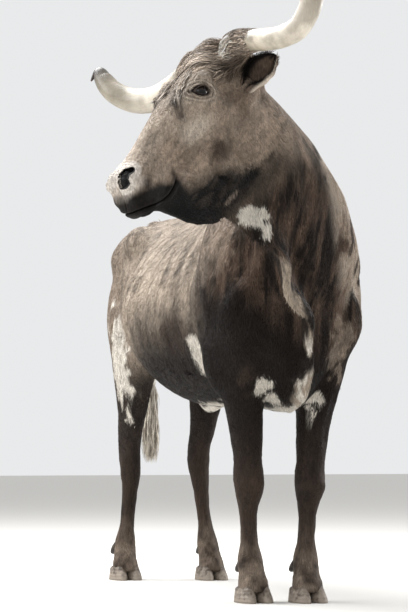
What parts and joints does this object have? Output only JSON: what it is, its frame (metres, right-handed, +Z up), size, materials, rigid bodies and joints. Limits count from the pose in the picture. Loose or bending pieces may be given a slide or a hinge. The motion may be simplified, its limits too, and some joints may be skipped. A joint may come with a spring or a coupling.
{
  "type": "texas longhorn",
  "caption": "Standing longhorn cow, life size, head raised and turned to its right, wide upswept horns, cloven hooves, dewlap and tail with a switch.",
  "frame": {"origin": "middle of the whole model's bounding box, on the floor", "axes": "+Z up; the animal's body faces -Y; its left side is +X"},
  "size_m": [1.0378, 2.4394, 2.0574],
  "materials": {
    "hide": "short dark brown coat with white patches, matte",
    "switch_hair": "long off-white hair, matte",
    "eye": "wet, glossy, near black",
    "horn": "smooth ivory horn with a dark tip, satin",
    "hoof": "dry dusty grey-brown horn, matte"
  },
  "bodies": {
    "root": {"head": "hide", "neck": "hide", "torso": "hide", "tail": "hide", "tail_switch": "switch_hair", "eye_right": "eye", "horn_right": "horn", "ear_right": "hide", "foreleg_right_upper": "hide", "foreleg_right_lower": "hide", "claw_fore_right_inner": "hoof", "dewclaw_fore_right_inner": "hoof", "claw_fore_right_outer": "hoof", "dewclaw_fore_right_outer": "hoof", "hindleg_right_upper": "hide", "hindleg_right_lower": "hide", "claw_hind_right_inner": "hoof", "dewclaw_hind_right_inner": "hoof", "claw_hind_right_outer": "hoof", "dewclaw_hind_right_outer": "hoof", "eye_left": "eye", "horn_left": "horn", "ear_left": "hide", "foreleg_left_upper": "hide", "foreleg_left_lower": "hide", "claw_fore_left_inner": "hoof", "dewclaw_fore_left_inner": "hoof", "claw_fore_left_outer": "hoof", "dewclaw_fore_left_outer": "hoof", "hindleg_left_upper": "hide", "hindleg_left_lower": "hide", "claw_hind_left_inner": "hoof", "dewclaw_hind_left_inner": "hoof", "claw_hind_left_outer": "hoof", "dewclaw_hind_left_outer": "hoof"}
  },
  "joints": []
}
